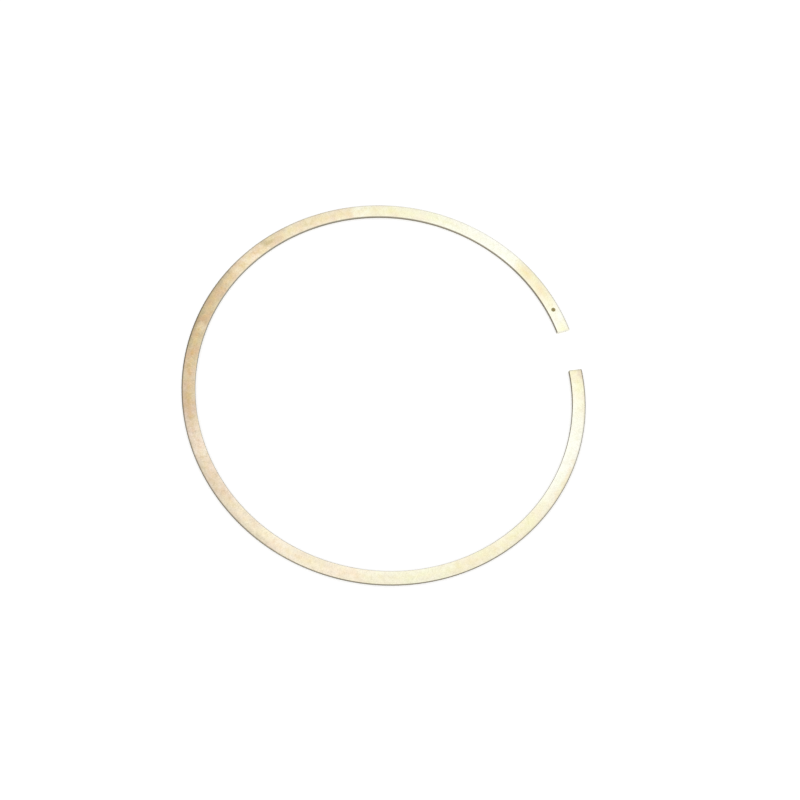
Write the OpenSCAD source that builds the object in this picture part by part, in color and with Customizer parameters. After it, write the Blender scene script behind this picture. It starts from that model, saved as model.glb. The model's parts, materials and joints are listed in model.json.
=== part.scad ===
// A piston ring: the thin top compression ring of an engine, wound from flat steel wire as one piece.
// It lies free on its lower side, sprung open as it is before it is squeezed into its bore.
// Free, it isn't round. It is bent so that in the bore it presses evenly all the way round,
// which leaves it flattest at the back, opposite the gap, and almost at its bore size by the ends.
// The gap is on +X, and the origin is under the middle of the ring's box, on the lower side.

/* [Ring] */
// Cylinder bore that the ring closes into
bore_d = 86; // [70:0.5:110]
// Radial width of the section, from the inner face to the running face
radial_width = 2.95; // [2.4:0.05:4]
// Axial height of the section, from side face to side face
axial_height = 0.8; // [0.6:0.05:2]
// Gap between the butt ends of the free ring, measured along its neutral line
free_gap = 9.6; // [5:0.1:14]
// Gap that is left between the butt ends in the bore
closed_gap = 0.3; // [0.1:0.05:0.6]

/* [Edges] */
// Crown of the barrelled running face, from its middle to its edges
crown = 0.01; // [0.004:0.001:0.03]
// Bevel along both edges of the running face
outer_bevel = 0.1; // [0.05:0.01:0.25]
// Bevel along both edges of the inner face
inner_bevel = 0.1; // [0.05:0.01:0.25]
// Bevel on the upright corners of the butt ends
end_bevel = 0.1; // [0.05:0.01:0.25]

/* [Hidden] */
$fn = 256;
rad = 180 / PI;
finest_step = 0.0001;

// The neutral line closes to a circle of this radius in the bore
mean_r = (bore_d - radial_width) / 2;
// Strength of the opening: an even pressure opens a ring by 3 * PI times this share of mean_r
ease = (free_gap - closed_gap) / (3 * PI * mean_r);
// Angle in the bore from the back of the ring to one butt end
closed_end = 180 - closed_gap / 2 / mean_r * rad;

// Direction that the free ring has turned to, at an angle in the bore measured from the back
function free_turn(closed) = closed - ease * (closed + rad * sin(closed));
// Angle in the bore that a direction of the free ring comes from, by repeated trial
function closed_angle(turn, trials = 6) =
    trials == 0 ? turn
    : let (guess = closed_angle(turn, trials - 1)) turn + ease * (guess + rad * sin(guess));

// Each half of the ring is four tangent arcs. They meet square to the back and on the slopes of a
// 3-4-5 triangle, so that their centres are round numbers and neighbours share one face exactly
slope = atan(3 / 4);
turns = [0, slope, 90, 180 - slope, free_turn(closed_end)];
last = len(turns) - 2;
// Each arc has the length that its stretch of the ring has in the bore
function stretch_angle(i) = closed_angle(turns[i + 1]) - closed_angle(turns[i]);
function rounded(x) = round(x / finest_step) * finest_step;
arc_r = [for (i = [0 : last]) rounded(mean_r * stretch_angle(i) / (turns[i + 1] - turns[i]))];
// Centre of arc i, from the first arc's, with the back of the ring along +X
function centre(i) =
    i == 0 ? [0, 0]
    : centre(i - 1) + (arc_r[i - 1] - arc_r[i]) * [cos(turns[i]), sin(turns[i])];

// Middle of the ring's length, from its back to the outer corners of its butt ends
back_x = arc_r[0] + radial_width / 2;
end_x = centre(last).x + (arc_r[last] + radial_width / 2) * cos(turns[last + 1]);
middle_x = rounded((back_x + end_x) / 2);

// Half the flat height of the running face, and the radius that gives its crown
half_face = axial_height / 2 - outer_bevel;
crown_r = (half_face * half_face + crown * crown) / (2 * crown);

// Section across the ring, about its neutral line and up from its lower side
module section() {
    inner = -radial_width / 2;
    outer = radial_width / 2;
    outer_edge = outer - crown - outer_bevel;
    intersection() {
        // The outer bevels run on to a point, which the crown cuts off
        polygon([
            [inner + inner_bevel, 0],
            [outer_edge, 0],
            [outer_edge + axial_height / 2, axial_height / 2],
            [outer_edge, axial_height],
            [inner + inner_bevel, axial_height],
            [inner, axial_height - inner_bevel],
            [inner, inner_bevel]
        ]);
        translate([outer - crown_r, axial_height / 2]) rotate(180) circle(r = crown_r);
    }
}

// Arc i of one half, or of both halves at the back of the ring
module arc(i) {
    quarter = 90 * floor(turns[i] / 90);
    from = i == 0 ? -turns[1] : turns[i];
    translate(centre(i)) rotate(quarter)
        rotate_extrude(angle = turns[i + 1] - from, start = from - quarter)
            translate([arc_r[i], 0]) section();
}

// Bar that bevels one upright corner of a butt end, on the inner (-1) or the outer (1) side
module corner_cut(side) {
    bar = 4 * end_bevel;
    translate([arc_r[last] + side * radial_width / 2, 0, axial_height / 2]) rotate(90 - 45 * side)
        translate([(bar - sqrt(2) * end_bevel) / 2, 0, 0]) cube([bar, bar, 2 * axial_height], center = true);
}

// Last arc of one half, with its butt end bevelled
module end_arc() {
    difference() {
        arc(last);
        translate(centre(last)) rotate(turns[last + 1])
            for (side = [-1, 1]) corner_cut(side);
    }
}

module piston_ring() {
    color([0.93, 0.87, 0.72])
        translate([middle_x, 0, 0]) rotate(180) {
            arc(0);
            for (half = [0, 1])
                mirror([0, half, 0]) {
                    for (i = [1 : last - 1]) arc(i);
                    end_arc();
                }
        }
}

piston_ring();
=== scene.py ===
"""Dresses the piston ring: lapped sides, dull faces, ground ends and a struck pip, on a white floor.

The ring lies free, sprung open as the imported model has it. Lengths are in metres, angles in radians
and the gap is on +X. A bearing is a direction round the ring, in degrees from the gap by way of +Y.
"""
import json
import logging
import math
from abc import ABC, abstractmethod
from dataclasses import dataclass, field, replace
from enum import Enum
from functools import partial, reduce

import bmesh
import bpy
from bmesh.types import BMEdge, BMesh, BMFace, BMVert
from bpy.types import ID, Material, Node, NodeSocket, NodeTree, Object
from mathutils import Color, Matrix, Vector


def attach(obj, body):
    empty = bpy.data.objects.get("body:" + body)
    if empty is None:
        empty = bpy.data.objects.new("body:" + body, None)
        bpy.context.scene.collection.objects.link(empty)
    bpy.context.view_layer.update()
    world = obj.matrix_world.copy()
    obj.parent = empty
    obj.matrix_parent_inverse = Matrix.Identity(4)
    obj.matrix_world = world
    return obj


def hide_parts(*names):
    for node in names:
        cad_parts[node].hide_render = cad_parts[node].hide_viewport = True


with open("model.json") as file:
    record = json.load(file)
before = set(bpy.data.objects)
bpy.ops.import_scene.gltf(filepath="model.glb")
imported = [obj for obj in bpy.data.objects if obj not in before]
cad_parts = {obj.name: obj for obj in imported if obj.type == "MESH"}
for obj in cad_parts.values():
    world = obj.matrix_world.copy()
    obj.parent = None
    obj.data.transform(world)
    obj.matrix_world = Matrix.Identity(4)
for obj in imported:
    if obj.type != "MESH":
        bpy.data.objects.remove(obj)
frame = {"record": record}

LOG = logging.getLogger("piston_ring")
MM = 0.001
UP = Vector((0.0, 0.0, 1.0))
FULL_TURN = 360
FULL_BYTE = 255
PHOTO_WIDTH_PX = 800
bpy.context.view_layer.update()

Colour = tuple[float, float, float]
Feed = NodeSocket | float | Colour
Sockets = bpy.types.bpy_prop_collection
WHITE: Colour = (1.0, 1.0, 1.0)


def srgb(red: int, green: int, blue: int) -> Colour:
    """Turns a colour as a screen shows it, 0 to 255, into the linear one that shaders use."""
    return tuple((Color((red, green, blue)) / FULL_BYTE).from_srgb_to_scene_linear())


def set_out(name: str, data: ID) -> Object:
    """Puts a mesh, a light or a camera into the scene.

    Args:
        name: Name of the object.
        data: What it shows.

    Returns:
        The object.
    """
    thing = bpy.data.objects.new(name, data)
    bpy.context.scene.collection.objects.link(thing)
    return thing


def settle(name: str, mesh: BMesh) -> Object:
    """Turns a finished mesh into an object.

    Args:
        name: Name of the object and of its mesh.
        mesh: The mesh, which is freed.

    Returns:
        The object.
    """
    data = bpy.data.meshes.new(name)
    mesh.to_mesh(data)
    mesh.free()
    return set_out(name, data)


class Zone(Enum):
    """Faces of the ring that are finished alike, in the order of its material slots."""

    SIDE = 0
    RUNNING = 1
    INNER = 2
    EDGE = 3
    BUTT = 4
    PIP = 5


@dataclass(frozen=True)
class Arc:
    """One arc of the free ring's neutral line, seen from above and followed anticlockwise.

    Attributes:
        centre: Centre of the arc.
        radius: Radius of the neutral line.
        start: Direction from the centre to where the arc starts, from +X.
        span: Angle of the arc.
    """

    centre: Vector
    radius: float
    start: float
    span: float

    def point(self, angle: float, offset: float, height: float) -> Vector:
        """Gives a point by its direction from +X, its distance outwards from the line and its height."""
        reach = self.radius + offset
        return self.centre + Vector((reach * math.cos(angle), reach * math.sin(angle), height))

    def direction(self, point: Vector) -> float:
        """Gives the direction of a point from the centre, from +X and between 0 and a full turn."""
        return math.atan2(point.y - self.centre.y, point.x - self.centre.x) % math.tau

    def offset(self, point: Vector) -> float:
        """Gives how far a point lies outwards from the neutral line."""
        return math.hypot(point.x - self.centre.x, point.y - self.centre.y) - self.radius


@dataclass(frozen=True)
class FreeForm:
    """Free shape of the ring, worked out from the sizes that it is made to.

    Attributes:
        bore_r: Radius of the bore that the ring closes into.
        height: Axial height of the section.
        width: Radial width of the section.
        free_gap: Gap between the ends of the free ring, along its neutral line.
        closed_gap: Gap that is left between them in the bore.
        slope: Direction from the back at which the first two arcs of each half meet.
    """

    bore_r: float
    height: float
    width: float = 2.95 * MM
    free_gap: float = 9.6 * MM
    closed_gap: float = 0.3 * MM
    slope: float = math.atan(3 / 4)

    @classmethod
    def from_record(cls, record: dict) -> "FreeForm":
        """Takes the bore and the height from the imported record's running face."""
        sizes = next(mount["dims"] for mount in record["mounts"] if mount["name"] == "running_face")
        return cls(bore_r=sizes["r_mm"] * MM, height=sizes["length_mm"] * MM)

    @property
    def mean_r(self) -> float:
        """Radius of the neutral line in the bore."""
        return self.bore_r - self.width / 2

    @property
    def length(self) -> float:
        """Length of the neutral line all the way round the bore."""
        return math.tau * self.mean_r

    @property
    def ease(self) -> float:
        """Share of the radius by which an even pressure opens the ring: its gap grows 3 pi times that."""
        return (self.free_gap - self.closed_gap) / (3 * math.pi * self.mean_r)

    @property
    def end_turn(self) -> float:
        """Direction of the free ring at its ends, from the back."""
        closed = math.pi - self.closed_gap / 2 / self.mean_r
        return closed - self.ease * (closed + math.sin(closed))

    def closed_angle(self, turn: float, trials: int = 6) -> float:
        """Gives the angle in the bore that a direction of the free ring comes from.

        Args:
            turn: Direction of the free ring, from the back.
            trials: How often the guess is improved.

        Returns:
            The angle in the bore, from the back.
        """
        guess = turn
        for _ in range(trials):
            guess = turn + self.ease * (guess + math.sin(guess))
        return guess

    def arcs(self) -> list[Arc]:
        """Lists the ring's tangent arcs from its end on +Y, round the back, to its end on -Y.

        Returns:
            The arcs, with the ring's box centred on the origin.
        """
        turns = [0.0, self.slope, math.pi / 2, math.pi - self.slope, self.end_turn]
        spans = [late - early for early, late in zip(turns, turns[1:])]
        closed = [self.closed_angle(turn) for turn in turns]
        radii = [
            self.mean_r * (late - early) / span
            for early, late, span in zip(closed, closed[1:], spans)
        ]
        centres = [Vector((0.0, 0.0, 0.0))]
        for turn, before, after in zip(turns[1:], radii, radii[1:]):
            step = (before - after) * Vector((math.cos(turn), math.sin(turn), 0.0))
            centres.append(centres[-1] + step)
        back = radii[0] + self.width / 2
        tip = centres[-1].x + (radii[-1] + self.width / 2) * math.cos(turns[-1])
        middle = Vector(((back + tip) / 2, 0.0, 0.0))
        round_back = Arc(middle, radii[0], math.pi - spans[0], 2 * spans[0])
        far = [
            Arc(middle - centre, radius, math.pi + turn, span)
            for centre, radius, turn, span in zip(centres[1:], radii[1:], turns[1:], spans[1:])
        ]
        mirror = Vector((1.0, -1.0, 1.0))
        near = [
            Arc(arc.centre * mirror, arc.radius, math.tau - arc.start - arc.span, arc.span)
            for arc in reversed(far)
        ]
        return [*near, round_back, *far]


@dataclass
class PistonRing:
    """The ring itself: one swept section with bevelled edges, ground ends and a struck pip.

    Attributes:
        form: Free shape of the ring.
        crown: How far the middle of the running face stands proud of its edges.
        crown_points: Points that draw the crowned running face.
        outer_bevel: Bevel along both edges of the running face.
        inner_bevel: Bevel along both edges of the inner face.
        end_bevel: Bevel round the butt ends.
        step: Largest angle between two sections of the sweep.
        pip_r: Radius of the pip that marks the upper side.
        pip_depth: Depth of the pip.
        pip_turn: Direction of the pip, from the gap towards +Y.
        pip_points: Points round the pip's rim.
        pip_room: How far the upper side is opened for the pip, to each side, in radii of the pip.
        pip_steps: Steps down into the pip, each with how far it draws in and its share of the depth.
        arcs: Arcs of the neutral line.
        FLAT: Upright part of its normal from which a face counts as a side.
        SLANTED: Upright part of its normal from which a face counts as a bevel.
        SHARP: Angle between two faces from which their edge stays sharp.
        MIDDLE: Share of the width at which the neutral line lies.
    """

    form: FreeForm
    crown: float = 0.01 * MM
    crown_points: int = 5
    outer_bevel: float = 0.1 * MM
    inner_bevel: float = 0.1 * MM
    end_bevel: float = 0.1 * MM
    step: float = math.radians(0.5)
    pip_r: float = 0.5 * MM
    pip_depth: float = 0.1 * MM
    pip_turn: float = math.radians(12.3)
    pip_points: int = 40
    pip_room: float = 1.7
    pip_steps: tuple[tuple[float, float], ...] = ((0.86, 0.45), (0.72, 0.35), (0.5, 0.2))
    arcs: list[Arc] = field(init=False)
    FLAT = 0.95
    SLANTED = 0.3
    SHARP = math.radians(20)
    MIDDLE = 0.5

    def __post_init__(self) -> None:
        """Works out the arcs once, because every vertex is placed on them."""
        self.arcs = self.form.arcs()

    def section(self) -> list[tuple[float, float]]:
        """Draws the section across the ring.

        Returns:
            Its corners, each as the distance outwards from the neutral line and the height.
        """
        half, tall = self.form.width / 2, self.form.height
        edge = half - self.crown - self.outer_bevel
        half_face = tall / 2 - self.outer_bevel
        crown_r = (half_face**2 + self.crown**2) / (2 * self.crown)
        rises = [half_face * (2 * i / (self.crown_points - 1) - 1) for i in range(self.crown_points)]
        running = [(half - crown_r + math.sqrt(crown_r**2 - rise**2), tall / 2 + rise) for rise in rises]
        return [
            (self.inner_bevel - half, 0.0),
            (edge, 0.0),
            *running,
            (edge, tall),
            (self.inner_bevel - half, tall),
            (-half, tall - self.inner_bevel),
            (-half, self.inner_bevel),
        ]

    def sweep(self, mesh: BMesh) -> None:
        """Spins the section along every arc in turn, a bevel short of both ends.

        Args:
            mesh: Mesh to add the swept faces to.
        """
        first = self.arcs[0]
        short = self.end_bevel / first.radius
        loop = [mesh.verts.new(first.point(first.start + short, *corner)) for corner in self.section()]
        edges = [mesh.edges.new(pair) for pair in zip(loop, loop[1:] + loop[:1])]
        front = [*loop, *edges]
        for arc in self.arcs:
            trims = (arc is first) + (arc is self.arcs[-1])
            angle = arc.span - trims * short
            front = bmesh.ops.spin(
                mesh, geom=front, cent=arc.centre, axis=UP, dvec=(0, 0, 0), angle=angle,
                steps=math.ceil(angle / self.step), use_merge=False, use_normal_flip=False,
                use_duplicate=False,
            )["geom_last"]

    def close_ends(self, mesh: BMesh) -> list[BMFace]:
        """Closes both butt ends and carries them out to their full length over a bevel.

        Args:
            mesh: The swept mesh.

        Returns:
            The faces of the ends and of their bevels.
        """
        rims = [edge for edge in mesh.edges if edge.is_boundary]
        caps = bmesh.ops.holes_fill(mesh, edges=rims, sides=0)["faces"]
        bmesh.ops.recalc_face_normals(mesh, faces=mesh.faces)
        bevels = bmesh.ops.inset_region(
            mesh, faces=caps, thickness=self.end_bevel, depth=self.end_bevel,
            use_boundary=True, use_even_offset=True,
        )["faces"]
        return [*caps, *bevels]

    def open_side(self, mesh: BMesh) -> list[BMEdge]:
        """Takes the faces of the upper side away where the pip goes.

        Args:
            mesh: The closed mesh.

        Returns:
            The edges round the opening.
        """
        first = self.arcs[0]
        reach = self.pip_room * self.pip_r / first.radius
        strip = [
            face for face in mesh.faces
            if face.normal.z > self.FLAT
            and abs(first.direction(face.calc_center_median()) - self.pip_turn) < reach
        ]
        edges = list(dict.fromkeys(edge for face in strip for edge in face.edges))
        inside = [edge for edge in edges if all(face in strip for face in edge.link_faces)]
        outline = [edge for edge in edges if edge not in inside]
        bmesh.ops.delete(mesh, geom=strip, context="FACES_ONLY")
        bmesh.ops.delete(mesh, geom=inside, context="EDGES")
        return outline

    def strike_pip(self, mesh: BMesh) -> list[BMFace]:
        """Sinks a shallow round dish into the upper side.

        Args:
            mesh: The closed mesh.

        Returns:
            The faces of the dish.
        """
        outline = self.open_side(mesh)
        place = self.arcs[0].point(self.pip_turn, 0.0, self.form.height)
        rim = bmesh.ops.create_circle(
            mesh, cap_ends=False, segments=self.pip_points, radius=self.pip_r,
            matrix=Matrix.Translation(place),
        )["verts"]
        ring = list(dict.fromkeys(edge for vert in rim for edge in vert.link_edges))
        bmesh.ops.triangle_fill(mesh, edges=[*outline, *ring], use_beauty=True, normal=UP)
        before = set(mesh.faces)
        for shrink, drop in self.pip_steps:
            made = bmesh.ops.extrude_edge_only(mesh, edges=ring)["geom"]
            verts = [item for item in made if isinstance(item, BMVert)]
            edges = [item for item in made if isinstance(item, BMEdge)]
            ring = [edge for edge in edges if edge.is_boundary]
            bmesh.ops.scale(mesh, vec=(shrink, shrink, 1), verts=verts, space=Matrix.Translation(-place))
            bmesh.ops.translate(mesh, vec=-drop * self.pip_depth * UP, verts=verts)
        bmesh.ops.holes_fill(mesh, edges=ring, sides=0)
        return [face for face in mesh.faces if face not in before]

    def locate(self, point: Vector) -> tuple[float, float]:
        """Gives a point's place along and across the ring.

        Args:
            point: A point of the ring.

        Returns:
            The share of a full turn from the gap, by way of +Y, and the share of the width from the
            inner face.
        """
        def misfit(arc: Arc) -> float:
            """Gives how far the point's direction lies outside an arc."""
            past_start = arc.direction(point) - arc.start
            return max(-past_start, past_start - arc.span, 0.0)

        arc = min(self.arcs, key=misfit)
        return arc.direction(point) / math.tau, self.MIDDLE + arc.offset(point) / self.form.width

    def zone(self, face: BMFace) -> Zone:
        """Tells which finish a swept face takes, from where it faces.

        Args:
            face: A face of the sweep.

        Returns:
            Its zone.
        """
        upright = abs(face.normal.z)
        if upright > self.FLAT:
            return Zone.SIDE
        if upright > self.SLANTED:
            return Zone.EDGE
        _, across = self.locate(face.calc_center_median())
        return Zone.RUNNING if across > self.MIDDLE else Zone.INNER

    def build(self) -> Object:
        """Models the ring as one closed mesh with a map of its length and width.

        Returns:
            The ring's object, with a zone on every face.
        """
        mesh = bmesh.new()
        self.sweep(mesh)
        ends = set(self.close_ends(mesh))
        dish = set(self.strike_pip(mesh))
        bmesh.ops.recalc_face_normals(mesh, faces=mesh.faces)
        place = mesh.loops.layers.uv.new(RingSheet.MAP)
        for face in mesh.faces:
            special = Zone.BUTT if face in ends else Zone.PIP if face in dish else None
            face.material_index = (special or self.zone(face)).value
            face.smooth = True
            for loop in face.loops:
                loop[place].uv = self.locate(loop.vert.co)
        for edge in mesh.edges:
            edge.smooth = edge.calc_face_angle(0.0) < self.SHARP
        return settle("lapped_ring", mesh)

    def dress(self, ring: Object, effects: "EffectShelf") -> None:
        """Gives every zone of the ring its finish.

        Args:
            ring: The ring's object.
            effects: Effects that the finishes share.
        """
        drawn = replace(DullFace.lines, length=2.5)
        finishes = {
            Zone.SIDE: LappedSide("lapped_side"),
            Zone.RUNNING: DullFace("running_face"),
            Zone.INNER: DullFace(
                "inner_face", lines=drawn, dark=srgb(118, 112, 96), light=srgb(156, 149, 130)
            ),
            Zone.EDGE: BrokenEdge("broken_edge"),
            Zone.BUTT: GroundEnd("ground_end", bevel=self.end_bevel),
            Zone.PIP: StruckPip("struck_pip", depth=self.pip_depth),
        }
        for zone in Zone:
            ring.data.materials.append(finishes[zone].material(self.form, effects))


@dataclass(frozen=True)
class Noise:
    """How one layer of soft noise looks.

    Attributes:
        scale: Patches to each unit of place.
        detail: How many finer layers it has.
        rough: How strong those finer layers are.
        spread: How far from its mean the noise is taken for 0 or 1.
    """

    scale: float = 1.0
    detail: float = 2.5
    rough: float = 0.5
    spread: float = 0.2


class NodeSheet:
    """Adds nodes to one tree and links them, so that a finish reads as a list of steps.

    Attributes:
        tree: The tree.
        MIXED: Places of a Mix node's two colours among its inputs.
        MIXTURE: Place of the mixed colour among its outputs.
        MEAN: Mean of all noise.
    """

    MIXED = (6, 7)
    MIXTURE = 2
    MEAN = 0.5

    def __init__(self, tree: NodeTree) -> None:
        """Keeps the tree that the nodes go into."""
        self.tree = tree

    def feed(self, target: NodeSocket, value: Feed) -> None:
        """Links a socket to an input, or sets the input's own value.

        Args:
            target: The input.
            value: A socket, a number or a colour.
        """
        if isinstance(value, NodeSocket):
            self.tree.links.new(value, target)
        elif isinstance(value, tuple):
            target.default_value = (*value, 1.0)
        else:
            target.default_value = value

    def fill(self, node: Node, **inputs: Feed) -> Node:
        """Feeds a node by the names of its inputs.

        Args:
            node: The node.
            **inputs: What goes into them, with underscores for spaces.

        Returns:
            The same node.
        """
        for name, value in inputs.items():
            self.feed(node.inputs[name.replace("_", " ")], value)
        return node

    def add(self, kind: str, *values: Feed, **settings: object) -> Node:
        """Adds one node.

        Args:
            kind: Type of the node, without its ShaderNode prefix.
            *values: What goes into its first inputs, in their order.
            **settings: Attributes to set on it.

        Returns:
            The node.
        """
        node = self.tree.nodes.new(f"ShaderNode{kind}")
        for name, value in settings.items():
            setattr(node, name, value)
        for target, value in zip(node.inputs, values):
            self.feed(target, value)
        return node

    def math(self, operation: str, *numbers: Feed) -> NodeSocket:
        """Reckons with one or two numbers."""
        return self.add("Math", *numbers, operation=operation).outputs[0]

    def total(self, *numbers: Feed) -> Feed:
        """Adds numbers up."""
        return reduce(partial(self.math, "ADD"), numbers)

    def product(self, *numbers: Feed) -> Feed:
        """Multiplies numbers."""
        return reduce(partial(self.math, "MULTIPLY"), numbers)

    def away(self, number: Feed, middle: Feed) -> NodeSocket:
        """Gives how far a number lies from a middle, to either side."""
        return self.math("ABSOLUTE", self.math("SUBTRACT", number, middle))

    def join(self, *numbers: Feed) -> NodeSocket:
        """Joins two or three numbers to a vector."""
        return self.add("CombineXYZ", *numbers).outputs[0]

    def split(self, vector: NodeSocket) -> Sockets:
        """Takes a vector apart into its three numbers."""
        return self.add("SeparateXYZ", vector).outputs

    def mix(self, share: Feed, first: Feed, second: Feed) -> NodeSocket:
        """Mixes two colours.

        Args:
            share: Share of the second colour.
            first: First colour.
            second: Second colour.

        Returns:
            The mixed colour.
        """
        node = self.add("Mix", share, data_type="RGBA")
        for socket, colour in zip(self.MIXED, (first, second)):
            self.feed(node.inputs[socket], colour)
        return node.outputs[self.MIXTURE]

    def remap(
        self, value: Feed, low: float, high: float, to_low: float = 0.0, to_high: float = 1.0,
        soft: bool = False,
    ) -> NodeSocket:
        """Carries a number from one range over to another and holds it there, with gentle ends if soft."""
        course = "SMOOTHERSTEP" if soft else "LINEAR"
        return self.add("MapRange", value, low, high, to_low, to_high, interpolation_type=course).outputs[0]

    def wander(self, noise: Feed, middle: float, reach: float) -> NodeSocket:
        """Lets noise carry a number to either side of its middle."""
        return self.remap(noise, 0.0, 1.0, middle - reach, middle + reach)

    def noise(self, place: NodeSocket, look: Noise) -> NodeSocket:
        """Reads soft noise at a place, stretched to the whole of 0 to 1."""
        node = self.fill(
            self.add("TexNoise"), Vector=place, Scale=look.scale, Detail=look.detail, Roughness=look.rough
        )
        return self.remap(node.outputs["Fac"], self.MEAN - look.spread, self.MEAN + look.spread)

    def ramp(self, value: Feed, stops: list[tuple[float, Colour]]) -> NodeSocket:
        """Turns a number into a colour, with soft steps between the stops.

        Args:
            value: The number.
            stops: Places and their colours, in order.

        Returns:
            The colour.
        """
        node = self.add("ValToRGB", value)
        node.color_ramp.interpolation = "EASE"
        elements = node.color_ramp.elements
        while len(elements) < len(stops):
            elements.new(1.0)
        for element, (place, colour) in zip(elements, stops):
            element.position = place
            element.color = (*colour, 1.0)
        return node.outputs[0]


class Effect(Enum):
    """Effects that are used again and again, each of them a node group of this name."""

    GRAIN = "tool_grain"
    MOTTLE = "oxide_mottle"
    SMUDGE = "smudge"
    WEATHER = "weather"


class EffectShelf:
    """Builds each effect once, for all the finishes that use it.

    Attributes:
        GRAIN: Look of the lines that a tool leaves.
        MOTTLE: Looks of the oxide's patches, large and small.
        SMUDGE: Where a patch starts to fade and where it ends, as shares of its half length or width.
        WEATHER: By bearing, how deep the oxide is, and how deep the painted shade on the outer edges and
            the darkening of the inner edges are.
        groups: The node groups.
    """

    GRAIN = Noise(detail=3.0, rough=0.6)
    MOTTLE = {
        "Clouds": Noise(),
        "Flecks": Noise(scale=4.5, detail=3.0, rough=0.6, spread=0.15),
        "Drift": Noise(scale=0.37, detail=1.0, spread=0.15),
    }
    SMUDGE = (0.15, 1.25)
    WEATHER = {
        "Oxide": (
            (20, 0.2), (74, 0.25), (98, 0.55), (122, 0.7), (140, 1.0), (165, 1.0), (182, 0.85),
            (205, 0.65), (230, 0.35), (300, 0.25),
        ),
        # Painted shade on the outer edges, by bearing: darkest at the back of the ring and near the end on
        # -Y.
        "Outer shade": (
            (10, 0.5), (40, 0.3), (70, 0.35), (100, 0.55), (116, 0.65), (134, 0.85), (146, 1.0),
            (156, 1.0), (172, 0.9), (184, 0.75), (206, 0.6), (222, 0.45), (240, 0.1), (276, 0.0),
            (292, 0.45), (312, 0.65), (340, 0.65), (352, 0.85),
        ),
        # Darkening of the inner edges, by bearing: strongest near both ends.
        "Inner darkening": (
            (14, 0.85), (46, 0.0), (130, 0.0), (150, 0.25), (172, 0.1), (200, 0.4), (244, 0.45),
            (256, 0.0), (275, 0.0), (298, 0.4), (324, 0.55), (346, 1.0),
        ),
    }

    def __init__(self) -> None:
        """Builds every group."""
        self.groups = {
            Effect.GRAIN: self.tool_grain(),
            Effect.MOTTLE: self.oxide_mottle(),
            Effect.SMUDGE: self.smudge(),
            Effect.WEATHER: self.weather(),
        }

    @staticmethod
    def start(effect: Effect, inputs: list[str], outputs: list[str]) -> tuple[NodeSheet, Sockets, Sockets]:
        """Starts a group with number inputs and outputs.

        Args:
            effect: The effect that it is for.
            inputs: Names of its inputs.
            outputs: Names of its outputs.

        Returns:
            A sheet on the group, the sockets that bring its inputs and those that take its outputs.
        """
        group = bpy.data.node_groups.new(effect.value, "ShaderNodeTree")
        for way, names in (("INPUT", inputs), ("OUTPUT", outputs)):
            for name in names:
                group.interface.new_socket(name, in_out=way, socket_type="NodeSocketFloat")
        given = group.nodes.new("NodeGroupInput").outputs
        wanted = group.nodes.new("NodeGroupOutput").inputs
        return NodeSheet(group), given, wanted

    def tool_grain(self) -> NodeTree:
        """Makes the fine lines that a lap or a grinding wheel leaves.

        Returns:
            A group that reads places across and along the lines, in millimetres.
        """
        sheet, given, wanted = self.start(
            Effect.GRAIN, ["Across lines", "Along lines", "Lines per mm", "Length"], ["Lines"]
        )
        across = sheet.product(given["Across lines"], given["Lines per mm"])
        along = sheet.math("DIVIDE", given["Along lines"], given["Length"])
        sheet.feed(wanted["Lines"], sheet.noise(sheet.join(across, along), self.GRAIN))
        return sheet.tree

    def oxide_mottle(self) -> NodeTree:
        """Makes the cloudy patches of a thin oxide.

        Returns:
            A group that reads places along, across and up the ring, in millimetres.
        """
        axes = ["Along", "Across", "Up"]
        sheet, given, wanted = self.start(Effect.MOTTLE, [*axes, "Patch size"], list(self.MOTTLE))
        place = sheet.join(*(sheet.math("DIVIDE", given[axis], given["Patch size"]) for axis in axes))
        for name, look in self.MOTTLE.items():
            sheet.feed(wanted[name], sheet.noise(place, look))
        return sheet.tree

    def smudge(self) -> NodeTree:
        """Makes one soft oval patch.

        Returns:
            A group that reads a place along and across the ring, in millimetres, and the patch's own.
        """
        own = ["At", "Side", "Half length", "Half width", "Ragged"]
        sheet, given, wanted = self.start(Effect.SMUDGE, ["Along", "Across", *own], ["Mask"])
        squares = []
        for place, middle, half in (("Along", "At", "Half length"), ("Across", "Side", "Half width")):
            away = sheet.math("DIVIDE", sheet.math("SUBTRACT", given[place], given[middle]), given[half])
            squares.append(sheet.product(away, away))
        reach = sheet.math("SQRT", sheet.total(*squares))
        frayed = sheet.total(reach, given["Ragged"], -sheet.MEAN)
        sheet.feed(wanted["Mask"], sheet.remap(frayed, *self.SMUDGE, 1.0, 0.0, soft=True))
        return sheet.tree

    def weather(self) -> NodeTree:
        """Makes the depth of the oxide, of the painted shade on the outer edges and of the darkening of the
        inner edges, by place along the ring.

        Returns:
            A group that reads the place along the ring, as a share of a full turn from the gap.
        """
        sheet, given, wanted = self.start(Effect.WEATHER, ["Turn"], list(self.WEATHER))
        for name, course in self.WEATHER.items():
            stops = [(bearing / FULL_TURN, (depth,) * 3) for bearing, depth in course]
            sheet.feed(wanted[name], sheet.ramp(given["Turn"], stops))
        return sheet.tree


@dataclass(frozen=True)
class ToolLines:
    """How the lines that a tool left on a face look.

    Attributes:
        density: Lines to each millimetre.
        length: Length of the lines, in millimetres.
        depth: Depth of them.
    """

    density: float
    length: float
    depth: float


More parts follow.
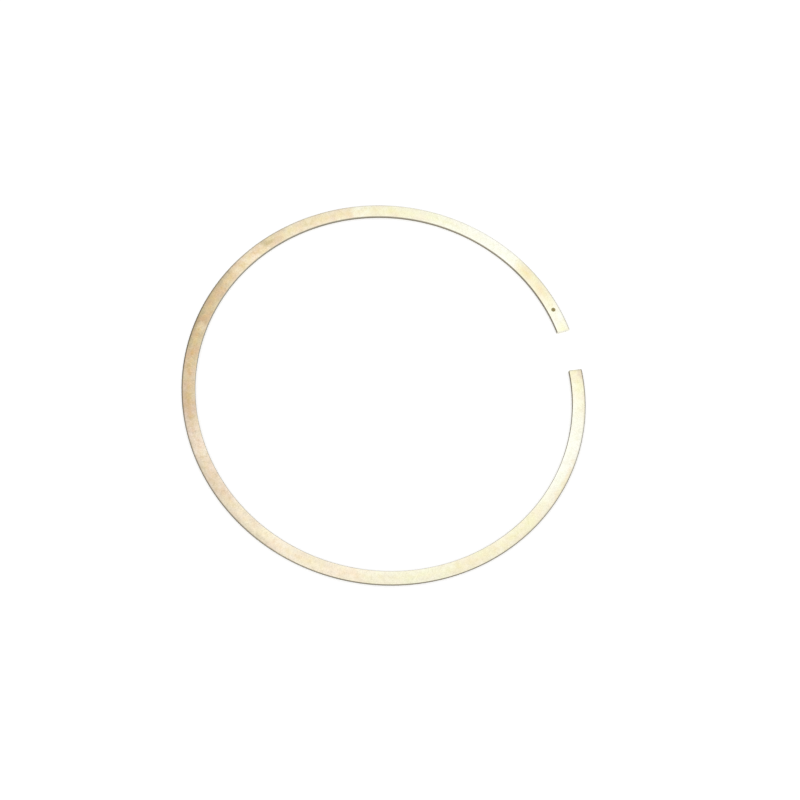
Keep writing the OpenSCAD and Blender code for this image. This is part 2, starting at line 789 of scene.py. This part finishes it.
class RingSheet(NodeSheet):
    """Sheet of one of the ring's materials, which reads where on the ring a point lies.

    Attributes:
        material: The material.
        shader: Its shader.
        effects: Effects that the finishes share.
        length: Length of the ring's neutral line round the bore, in millimetres.
        width: Width of the ring, in millimetres.
        height: Height of the ring, in millimetres.
        turn: The point's share of a full turn from the gap, by way of +Y.
        along: Its distance along the ring from the gap, the same way, in millimetres.
        across: Its distance from the inner face, in millimetres.
        up: Its height over the lower side, in millimetres.
        MAP: Name of the ring's map of its length and width.
    """

    MAP = "along_and_across"

    def __init__(self, name: str, form: FreeForm, effects: EffectShelf) -> None:
        """Starts a plain material of bare metal.

        Args:
            name: Name of the material.
            form: Free shape of the ring.
            effects: Effects that the finishes share.
        """
        self.material = bpy.data.materials.new(name)
        self.material.use_nodes = True
        super().__init__(self.material.node_tree)
        self.shader = self.fill(self.tree.nodes["Principled BSDF"], Metallic=1.0)
        self.effects = effects
        self.length = form.length / MM
        self.width = form.width / MM
        self.height = form.height / MM
        self.turn, width, _ = self.split(self.add("UVMap", uv_map=self.MAP).outputs[0])
        _, _, height = self.split(self.add("TexCoord").outputs["Object"])
        self.along = self.product(self.turn, self.length)
        self.across = self.product(width, self.width)
        self.up = self.product(height, 1 / MM)

    def effect(self, effect: Effect, **inputs: Feed) -> Sockets:
        """Places an effect in the material, fed by name, with underscores for spaces."""
        return self.fill(self.add("Group", node_tree=self.effects.groups[effect]), **inputs).outputs

    def weather(self) -> Sockets:
        """Reads how deep the oxide, the painted shade on the outer edges and the darkening of the inner
        edges are.
        """
        return self.effect(Effect.WEATHER, Turn=self.turn)

    def mottle(self, patch: float, turned: bool = False) -> Sockets:
        """Reads the oxide's patches, of a size in millimetres, along the ring or turned across it."""
        along, across = (self.across, self.along) if turned else (self.along, self.across)
        return self.effect(Effect.MOTTLE, Along=along, Across=across, Up=self.up, Patch_size=patch)

    def grain(self, lines: ToolLines, across: Feed, along: Feed) -> NodeSocket:
        """Draws a tool's lines, 0 to 1, by the places across and along them in millimetres."""
        return self.effect(
            Effect.GRAIN, Across_lines=across, Along_lines=along, Lines_per_mm=lines.density,
            Length=lines.length,
        )["Lines"]

    def paint(self, colour: Feed, pattern: Feed, polish: tuple[float, float]) -> None:
        """Gives the surface its colour, and the roughness that a pattern of 0 to 1 stands for."""
        self.fill(self.shader, Base_Color=colour, Roughness=self.remap(pattern, 0.0, 1.0, *polish))

    def bump(self, height: Feed, depth: float) -> None:
        """Gives the surface its relief, from a height of 0 to 1 and the depth that 1 stands for."""
        relief = self.fill(self.add("Bump"), Distance=depth, Height=height)
        self.fill(self.shader, Normal=relief.outputs[0])


@dataclass(frozen=True)
class Finish(ABC):
    """What every finish of the ring shares.

    Attributes:
        name: Name of the material.
    """

    name: str

    @abstractmethod
    def apply(self, sheet: RingSheet) -> None:
        """Lays the finish on bare metal."""

    def material(self, form: FreeForm, effects: EffectShelf) -> Material:
        """Makes the finish.

        Args:
            form: Free shape of the ring.
            effects: Effects that the finishes share.

        Returns:
            The material.
        """
        sheet = RingSheet(self.name, form, effects)
        self.apply(sheet)
        return sheet.material


class Tint(Enum):
    """Colours of the lapped steel, from bare metal with a painted reflection to deep oxide, stains and
    painted shade.
    """

    BARE = srgb(253, 253, 237)
    CREAM = srgb(250, 247, 218)
    STRAW = srgb(248, 241, 206)
    PEACH = srgb(250, 237, 208)
    HONEY = srgb(246, 231, 195)
    TAN = srgb(241, 221, 182)
    ROSE = srgb(238, 219, 193)
    CLAY = srgb(219, 195, 159)
    BROWN = srgb(224, 200, 157)
    AMBER = srgb(243, 226, 180)
    OLIVE = srgb(186, 164, 108)
    RUST = srgb(206, 160, 112)
    # Dark colour of the painted shade on the edges, and of some stains.
    SOOT = srgb(96, 86, 66)


@dataclass(frozen=True)
class Stretch:
    """A stretch of the lapped side that has one tint, and blends into the next one.

    Attributes:
        start: Bearing where the tint is reached.
        end: Bearing where it starts to leave.
        tint: The tint.
    """

    start: float
    end: float
    tint: Tint


@dataclass(frozen=True)
class Stain:
    """A patch on the lapped side that is darker or paler than the steel round it.

    Attributes:
        at: Bearing of its middle.
        side: Distance of its middle from the inner face, in millimetres.
        half_length: Half its length along the ring, in millimetres.
        half_width: Half its width across the ring, in millimetres.
        tint: Its colour.
        strength: Share of that colour in its middle.
    """

    at: float
    side: float
    half_length: float
    half_width: float
    tint: Tint
    strength: float


@dataclass(frozen=True)
class LappedSide(Finish):
    """Lapped steel with a straw tint of oxide, deepest at the back, and paled at its ends by a painted
    reflection.

    Attributes:
        stretches: Tints round the ring.
        mottles: Tints that the oxide breaks into, by patch, with their shares where it is deepest.
        mottle_from: Share of a patch from which its tint shows.
        stains: Patches on it.
        broad_patch: Size of the oxide's broad patches, in millimetres.
        fine_patch: Size of its fine patches, in millimetres.
        bend: How far the broad patches shift the stretches, as a share of a turn.
        slant: How much lighter the inner margin is than the middle, and the outer one darker.
        lines: Lines of the lap.
        line_lean: How far they lean, to either side, from straight across the ring.
        line_contrast: How much they lighten and darken the steel.
        patch_contrast: How much deeper and paler patches of oxide darken and lighten it.
        fleck_contrast: How much the finest flecks lighten and darken it.
        contrast_gain: What those contrasts are multiplied by on bare steel and on the deepest oxide.
        hue_drift: How far its hue wanders, as a share of the colour circle.
        strength_drift: How far the strength of its colour wanders.
        margin_strength: Strength of its colour at both margins.
        rim: Breadth over which painted shade fades in towards the bevel along the running face.
        bare_rim: Distance from the running face at which that painted shade is full.
        polish: Roughness between the lines of the lap and in them.
        SAME_HUE: Setting at which a hue stays as it is.
    """

    # Painted reflection: the stretches pale to nearly white towards the gap, as if they caught a bright
    # light, over the oxide's own tint.
    stretches: tuple[Stretch, ...] = (
        Stretch(6, 6, Tint.CREAM), Stretch(9.5, 9.5, Tint.BARE), Stretch(13, 13, Tint.CREAM),
        Stretch(20, 30, Tint.STRAW), Stretch(33, 44, Tint.BARE), Stretch(64, 64, Tint.CREAM),
        Stretch(77, 86, Tint.STRAW), Stretch(88, 104, Tint.HONEY), Stretch(112, 128, Tint.TAN),
        Stretch(136, 164, Tint.BROWN), Stretch(172, 174.5, Tint.CLAY), Stretch(185, 202, Tint.ROSE),
        Stretch(215, 246, Tint.PEACH), Stretch(254, 270, Tint.CREAM), Stretch(278, 300, Tint.STRAW),
        Stretch(322, 340, Tint.BARE), Stretch(348, 348, Tint.CREAM), Stretch(352, 352, Tint.STRAW),
    )
    mottles: tuple[tuple[str, Tint, float], ...] = (
        ("Clouds", Tint.RUST, 0.22), ("Flecks", Tint.OLIVE, 0.34), ("Drift", Tint.BROWN, 0.2),
    )
    mottle_from: float = 0.4
    stains: tuple[Stain, ...] = (
        Stain(20.5, 1.5, 2.0, 1.2, Tint.AMBER, 0.5),
        Stain(25.0, 2.7, 5.0, 0.8, Tint.SOOT, 0.07),
        Stain(27.0, 1.5, 2.2, 1.4, Tint.AMBER, 0.8),
        Stain(84.5, 1.5, 2.2, 2.4, Tint.CREAM, 0.8),
        Stain(86.0, 2.3, 2.2, 1.0, Tint.CREAM, 0.6),
        Stain(89.0, 0.7, 1.2, 1.5, Tint.TAN, 0.9),
        Stain(110.5, 2.6, 2.8, 0.8, Tint.SOOT, 0.09),
        Stain(112.5, 0.8, 2.4, 1.2, Tint.BROWN, 0.6),
        Stain(115.3, 1.6, 1.4, 0.8, Tint.OLIVE, 0.5),
        Stain(116.5, 2.4, 1.2, 0.6, Tint.OLIVE, 0.4),
        Stain(123.0, 1.4, 4.0, 1.8, Tint.HONEY, 0.65),
        Stain(132.5, 2.6, 2.4, 0.9, Tint.SOOT, 0.19),
        Stain(141.0, 1.9, 2.6, 1.0, Tint.RUST, 0.22),
        Stain(141.5, 2.8, 12.0, 1.0, Tint.OLIVE, 0.35),
        Stain(147.0, 1.4, 1.4, 1.0, Tint.OLIVE, 0.22),
        Stain(149.0, 0.4, 14.0, 1.0, Tint.OLIVE, 0.28),
        Stain(149.8, 2.6, 3.4, 0.7, Tint.OLIVE, 0.65),
        Stain(150.2, 1.5, 1.2, 1.0, Tint.AMBER, 0.38),
        Stain(152.5, 1.0, 1.0, 1.0, Tint.OLIVE, 0.2),
        Stain(155.0, 2.7, 1.8, 0.8, Tint.OLIVE, 0.45),
        Stain(157.0, 1.8, 1.4, 1.1, Tint.OLIVE, 0.12),
        Stain(171.5, 1.8, 2.8, 1.4, Tint.RUST, 0.2),
        Stain(188.0, 1.4, 2.2, 1.6, Tint.PEACH, 0.4),
        Stain(193.0, 2.6, 2.2, 0.8, Tint.OLIVE, 0.2),
        Stain(214.5, 0.4, 4.4, 0.9, Tint.OLIVE, 0.14),
        Stain(216.0, 2.7, 9.0, 0.9, Tint.OLIVE, 0.25),
        Stain(227.0, 1.1, 4.0, 1.2, Tint.CREAM, 0.3),
        Stain(236.0, 0.4, 6.5, 0.9, Tint.OLIVE, 0.14),
        Stain(253.0, 2.8, 10.0, 0.9, Tint.AMBER, 0.28),
        Stain(257.5, 0.9, 1.6, 0.7, Tint.OLIVE, 0.1),
        Stain(302.0, 2.8, 4.0, 0.9, Tint.AMBER, 0.25),
        Stain(318.0, 2.8, 8.0, 1.1, Tint.AMBER, 0.7),
        Stain(344.0, 2.8, 6.0, 0.9, Tint.AMBER, 0.4),
        Stain(354.0, 2.8, 1.6, 0.9, Tint.CLAY, 0.5),
        Stain(355.4, 1.5, 0.45, 4.0, Tint.SOOT, 0.14),
    )
    broad_patch: float = 4.0
    fine_patch: float = 1.2
    bend: float = 0.006
    slant: float = 0.1
    lines: ToolLines = ToolLines(density=2.2, length=5.0, depth=0.002 * MM)
    line_lean: float = 0.7
    line_contrast: float = 0.025
    patch_contrast: float = 0.02
    fleck_contrast: float = 0.065
    contrast_gain: tuple[float, float] = (0.8, 1.5)
    hue_drift: float = 0.012
    strength_drift: float = 0.16
    margin_strength: float = 0.74
    rim: float = 0.22 * MM
    bare_rim: float = 0.14 * MM
    polish: tuple[float, float] = (0.3, 0.42)
    SAME_HUE = 0.5

    def tinted(self, sheet: RingSheet, broad: Sockets, oxide: Feed) -> NodeSocket:
        """Colours the ring by stretches of oxide tint and painted reflection, and breaks the oxide up into
        its patches.

        Args:
            sheet: The material's sheet.
            broad: Broad patches.
            oxide: Depth of the oxide.

        Returns:
            The colour.
        """
        bent = sheet.total(sheet.turn, sheet.wander(broad["Clouds"], 0.0, self.bend))
        stops = [
            (bearing / FULL_TURN, stretch.tint.value)
            for stretch in self.stretches
            for bearing in dict.fromkeys((stretch.start, stretch.end))
        ]
        colour = sheet.ramp(bent, stops)
        for patch, tint, most in self.mottles:
            shown = sheet.remap(broad[patch], self.mottle_from, 1.0, 0.0, most)
            colour = sheet.mix(sheet.product(shown, oxide), colour, tint.value)
        return colour

    def stained(self, sheet: RingSheet, colour: Feed, ragged: Feed) -> Feed:
        """Lays the stains on a colour.

        Args:
            sheet: The material's sheet.
            colour: Colour under the stains.
            ragged: Noise that frays their edges.

        Returns:
            The stained colour.
        """
        for stain in self.stains:
            mask = sheet.effect(
                Effect.SMUDGE, Along=sheet.along, Across=sheet.across, Ragged=ragged,
                At=stain.at / FULL_TURN * sheet.length, Side=stain.side,
                Half_length=stain.half_length, Half_width=stain.half_width,
            )["Mask"]
            colour = sheet.mix(sheet.product(mask, stain.strength), colour, stain.tint.value)
        return colour

    def lightness(self, sheet: RingSheet, fine: Sockets, oxide: Feed, laps: list[Feed]) -> Feed:
        """Works out how light a point is beside its tint.

        Args:
            sheet: The material's sheet.
            fine: Fine patches.
            oxide: Depth of the oxide.
            laps: Sets of lines.

        Returns:
            What the tint is multiplied by.
        """
        slant = sheet.remap(sheet.across, 0.0, sheet.width, self.slant, -self.slant)
        swaying = [(fine["Clouds"], -self.patch_contrast), (fine["Flecks"], self.fleck_contrast)]
        swaying += [(lines, self.line_contrast) for lines in laps]
        sway = sheet.total(*(sheet.wander(noise, 0.0, contrast) for noise, contrast in swaying))
        gain = sheet.remap(oxide, 0.0, 1.0, *self.contrast_gain)
        return sheet.total(sheet.product(slant, oxide), sheet.product(sway, gain), 1.0)

    def with_painted_shade(self, sheet: RingSheet, colour: Feed, shade_depth: Feed) -> NodeSocket:
        """Paints shade on the rim along the running face.

        Args:
            sheet: The material's sheet.
            colour: Colour under the soot.
            shade_depth: Depth of the painted shade.

        Returns:
            The darkened colour.
        """
        outer = sheet.width - self.bare_rim / MM
        near_rim = sheet.remap(sheet.across, outer - self.rim / MM, outer)
        # Painted shade along the outer margin of the side.
        return sheet.mix(sheet.product(shade_depth, shade_depth, near_rim), colour, Tint.SOOT.value)

    def apply(self, sheet: RingSheet) -> None:
        """Tints, stains and laps the steel.

        Args:
            sheet: The material's sheet.
        """
        broad = sheet.mottle(self.broad_patch)
        fine = sheet.mottle(self.fine_patch, turned=True)
        weather = sheet.weather()
        laps = []
        for lean in (self.line_lean, -self.line_lean):
            leaning = sheet.total(sheet.along, sheet.product(sheet.across, lean))
            laps.append(sheet.grain(self.lines, leaning, sheet.across))
        half = sheet.width / 2
        margin = sheet.remap(sheet.away(sheet.across, half), 0.0, half, 1.0, self.margin_strength)
        colour = self.tinted(sheet, broad, weather["Oxide"])
        shifted = sheet.fill(
            sheet.add("HueSaturation"),
            Color=self.stained(sheet, colour, fine["Clouds"]),
            Hue=sheet.wander(fine["Drift"], self.SAME_HUE, self.hue_drift),
            Saturation=sheet.product(margin, sheet.wander(fine["Clouds"], 1.0, self.strength_drift)),
            Value=self.lightness(sheet, fine, weather["Oxide"], laps),
        )
        sheet.paint(self.with_painted_shade(sheet, shifted.outputs[0], weather["Outer shade"]), laps[0], self.polish)
        sheet.bump(sheet.product(*laps), self.lines.depth)


@dataclass(frozen=True)
class DullFace(Finish):
    """Dull olive-grey skin of the running and inner faces, with honed or drawn lines.

    Attributes:
        lines: Those lines.
        line_share: How much of its shading the lines make, beside its patches.
        patch: Size of its patches, in millimetres.
        dark: Colour of its darker lines and patches.
        light: Colour of its lighter ones.
        polish: Roughness in its darker and in its lighter patches.
    """

    lines: ToolLines = ToolLines(density=14.0, length=0.6, depth=0.003 * MM)
    line_share: float = 0.6
    patch: float = 2.0
    dark: Colour = srgb(106, 99, 83)
    light: Colour = srgb(146, 138, 118)
    polish: tuple[float, float] = (0.38, 0.52)

    def apply(self, sheet: RingSheet) -> None:
        """Clouds the face, and draws its lines along the ring.

        Args:
            sheet: The material's sheet.
        """
        lines = sheet.grain(self.lines, sheet.up, sheet.along)
        clouds = sheet.mottle(self.patch)["Clouds"]
        share = sheet.total(
            sheet.product(lines, self.line_share), sheet.product(clouds, 1 - self.line_share)
        )
        sheet.paint(sheet.mix(share, self.dark, self.light), clouds, self.polish)
        sheet.bump(lines, self.lines.depth)


@dataclass(frozen=True)
class BrokenEdge(Finish):
    """Bevels that the lap never reached: greyer than the side, with painted shade on the outer ones and
    darker stretches on the inner ones.

    Attributes:
        inside: Colour of the bevels along the inner face, where they are not darkened.
        outside: Colour of those along the running face, where they have no painted shade.
        patch: Size of its patches, in millimetres.
        polish: Roughness in its darker and in its lighter flecks.
    """

    inside: Colour = srgb(184, 178, 160)
    outside: Colour = srgb(150, 143, 124)
    patch: float = 3.0
    polish: tuple[float, float] = (0.45, 0.3)

    def apply(self, sheet: RingSheet) -> None:
        """Colours the inner and the outer bevels apart: painted shade on the outer ones, a darkening of
        their own on the inner ones.

        Args:
            sheet: The material's sheet.
        """
        weather = sheet.weather()
        # Inner bevels darkened by bearing.
        inside = sheet.mix(weather["Inner darkening"], self.inside, Tint.SOOT.value)
        # Painted shade on the outer bevels.
        outside = sheet.mix(weather["Outer shade"], self.outside, Tint.SOOT.value)
        is_outside = sheet.math("GREATER_THAN", sheet.across, sheet.width / 2)
        flecks = sheet.mottle(self.patch)["Flecks"]
        sheet.paint(sheet.mix(is_outside, inside, outside), flecks, self.polish)


@dataclass(frozen=True)
class GroundEnd(Finish):
    """Butt ends as the cutting wheel left them: bright, with fine upright lines and painted shade on the
    bevel.

    Attributes:
        bevel: Size of the bevel round them.
        bright: Colour of the fresh steel.
        shade: Colour in the wheel's lines.
        lines: Those lines.
        shade_span: Depths of the outer edges' painted shade at which the bevel is still bright and is fully
            shaded.
        polish: Roughness between the lines and in them.
    """

    bevel: float
    bright: Colour = srgb(249, 247, 236)
    shade: Colour = srgb(212, 209, 194)
    lines: ToolLines = ToolLines(density=9.0, length=3.0, depth=0.003 * MM)
    shade_span: tuple[float, float] = (0.5, 0.85)
    polish: tuple[float, float] = (0.28, 0.4)

    def apply(self, sheet: RingSheet) -> None:
        """Draws the wheel's lines, and paints shade on the upper and the lower bevel.

        Args:
            sheet: The material's sheet.
        """
        lines = sheet.grain(self.lines, sheet.across, sheet.up)
        half = sheet.height / 2
        on_bevel = sheet.math("GREATER_THAN", sheet.away(sheet.up, half), half - self.bevel / MM)
        # Painted shade on the butt's bevels, taken from the outer edges' painted shade.
        shade_depth = sheet.remap(sheet.weather()["Outer shade"], *self.shade_span)
        ground = sheet.mix(lines, self.bright, self.shade)
        with_painted_shade = sheet.mix(sheet.product(on_bevel, shade_depth), ground, Tint.SOOT.value)
        sheet.paint(with_painted_shade, lines, self.polish)
        sheet.bump(lines, self.lines.depth)


@dataclass(frozen=True)
class StruckPip(Finish):
    """Dish of the pip, stained dark olive by what is left in it.

    Attributes:
        depth: Depth of the pip.
        deep: Colour at its bottom.
        shallow: Colour at its rim.
        rise_share: How much of its shading comes from the depth, beside its flecks.
        patch: Size of its patches, in millimetres.
        polish: Roughness in its darker and in its lighter flecks.
    """

    depth: float
    deep: Colour = srgb(140, 128, 86)
    shallow: Colour = srgb(194, 182, 138)
    rise_share: float = 0.7
    patch: float = 0.8
    polish: tuple[float, float] = (0.45, 0.65)

    def apply(self, sheet: RingSheet) -> None:
        """Darkens the dish towards its bottom.

        Args:
            sheet: The material's sheet.
        """
        flecks = sheet.mottle(self.patch)["Flecks"]
        bottom = sheet.height - self.depth / MM
        share = sheet.total(
            sheet.remap(sheet.up, bottom, sheet.height, 0.0, self.rise_share),
            sheet.product(flecks, 1 - self.rise_share),
        )
        sheet.paint(sheet.mix(share, self.deep, self.shallow), flecks, self.polish)


@dataclass(frozen=True)
class Lamp:
    """A square lamp that faces the middle of the ring.

    Attributes:
        name: Its name.
        place: Where it hangs.
        size: Its side.
        power: Its power in watts.
    """

    name: str
    place: Vector
    size: float
    power: float

    def hang(self) -> None:
        """Hangs the lamp."""
        data = bpy.data.lights.new(self.name, "AREA")
        data.size = self.size
        data.energy = self.power
        lamp = set_out(self.name, data)
        lamp.location = self.place
        lamp.rotation_euler = self.place.to_track_quat("Z", "Y").to_euler()


@dataclass
class Studio:
    """White floor, soft light and the camera at the photograph's viewing angle.

    Attributes:
        floor_half: Half the floor's side.
        floor_drop: How far the floor lies under the ring, so that no two faces share a plane.
        floor_colour: Colour of the floor.
        floor_lift: Light that the floor adds where it is seen, which brings it up to white.
        ambient: Strength of the light from all round.
        lamps: Lamps over the ring.
        target: Point of the floor at the middle of the picture.
        distance: Distance from there to the camera.
        azimuth: Direction that the camera looks in, from +Y towards -X.
        elevation: Height of the camera over the horizon.
        roll: Turn of the camera about its own axis.
        focal_px: Focal length in pixels of the picture.
    """

    floor_half: float = 0.6
    floor_drop: float = 0.01 * MM
    floor_colour: Colour = (0.8, 0.8, 0.8)
    floor_lift: float = 0.5
    ambient: float = 0.75
    lamps: tuple[Lamp, ...] = (
        Lamp("key_lamp", Vector((0.25, 0.16, 0.35)), 0.2, 0.02),
        Lamp("side_lamp", Vector((-0.3, -0.25, 0.1)), 0.12, 0.1),
    )
    target: tuple[float, float] = (2.66 * MM, -3.704 * MM)
    distance: float = 313.7 * MM
    azimuth: float = math.radians(-24.564)
    elevation: float = math.radians(67.593)
    roll: float = math.radians(12.03)
    focal_px: float = 1437.2

    def lay_floor(self) -> None:
        """Lays a white floor that keeps the ring's shadow."""
        mesh = bmesh.new()
        bmesh.ops.create_grid(
            mesh, x_segments=1, y_segments=1, size=self.floor_half,
            matrix=Matrix.Translation(-self.floor_drop * UP),
        )
        floor = settle("floor", mesh)
        floor.data.materials.append(self.floor_paint())

    def floor_paint(self) -> Material:
        """Makes the floor's matt white.

        Returns:
            The material.
        """
        material = bpy.data.materials.new("white_floor")
        material.use_nodes = True
        sheet = NodeSheet(material.node_tree)
        sheet.fill(
            sheet.tree.nodes["Principled BSDF"], Base_Color=self.floor_colour, Roughness=1.0,
            Specular_IOR_Level=0.0, Emission_Color=WHITE,
            Emission_Strength=sheet.product(self.seen(sheet), self.floor_lift),
        )
        return material

    @staticmethod
    def seen(sheet: NodeSheet) -> NodeSocket:
        """Tells whether a ray comes from the camera or by way of a reflection.

        Args:
            sheet: Sheet of the tree that asks.

        Returns:
            1 where it does, 0 where it only brings light.
        """
        path = sheet.add("LightPath").outputs
        mirrored = sheet.math("MAXIMUM", path["Is Glossy Ray"], path["Is Transmission Ray"])
        return sheet.math("MAXIMUM", path["Is Camera Ray"], mirrored)

    def light(self) -> None:
        """Fills the room with even light, and hangs the lamps over the ring."""
        world = bpy.data.worlds.new("white_room")
        world.use_nodes = True
        bpy.context.scene.world = world
        sheet = NodeSheet(world.node_tree)
        strength = sheet.remap(self.seen(sheet), 0.0, 1.0, self.ambient, 1.0)
        sheet.fill(sheet.tree.nodes["Background"], Color=WHITE, Strength=strength)
        for lamp in self.lamps:
            lamp.hang()

    def place_camera(self) -> None:
        """Places the camera where the photograph was taken from."""
        forward = Vector((-math.sin(self.azimuth), math.cos(self.azimuth), 0.0))
        right = Vector((math.cos(self.azimuth), math.sin(self.azimuth), 0.0))
        back = math.sin(self.elevation) * UP - math.cos(self.elevation) * forward
        level = Matrix((right, back.cross(right), back)).transposed().to_4x4()
        data = bpy.data.cameras.new("camera")
        data.lens = self.focal_px / PHOTO_WIDTH_PX * data.sensor_width
        data.clip_start = MM
        camera = set_out("camera", data)
        spot = Vector((*self.target, 0.0)) + self.distance * back
        camera.matrix_world = Matrix.Translation(spot) @ level @ Matrix.Rotation(self.roll, 4, "Z")
        bpy.context.scene.camera = camera

    def build(self) -> None:
        """Sets up the whole studio."""
        bpy.context.scene.view_settings.view_transform = "Standard"
        self.lay_floor()
        self.light()
        self.place_camera()


def main() -> None:
    """Builds the ring and the studio."""
    logging.basicConfig(level=logging.INFO, format="%(name)s: %(message)s")
    ring_maker = PistonRing(FreeForm.from_record(frame["record"]))
    ring = ring_maker.build()
    ring_maker.dress(ring, EffectShelf())
    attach(ring, "root")
    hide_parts("piston_ring")
    LOG.info("%s: %d faces", ring.name, len(ring.data.polygons))
    Studio().build()


if __name__ == "__main__":
    main()
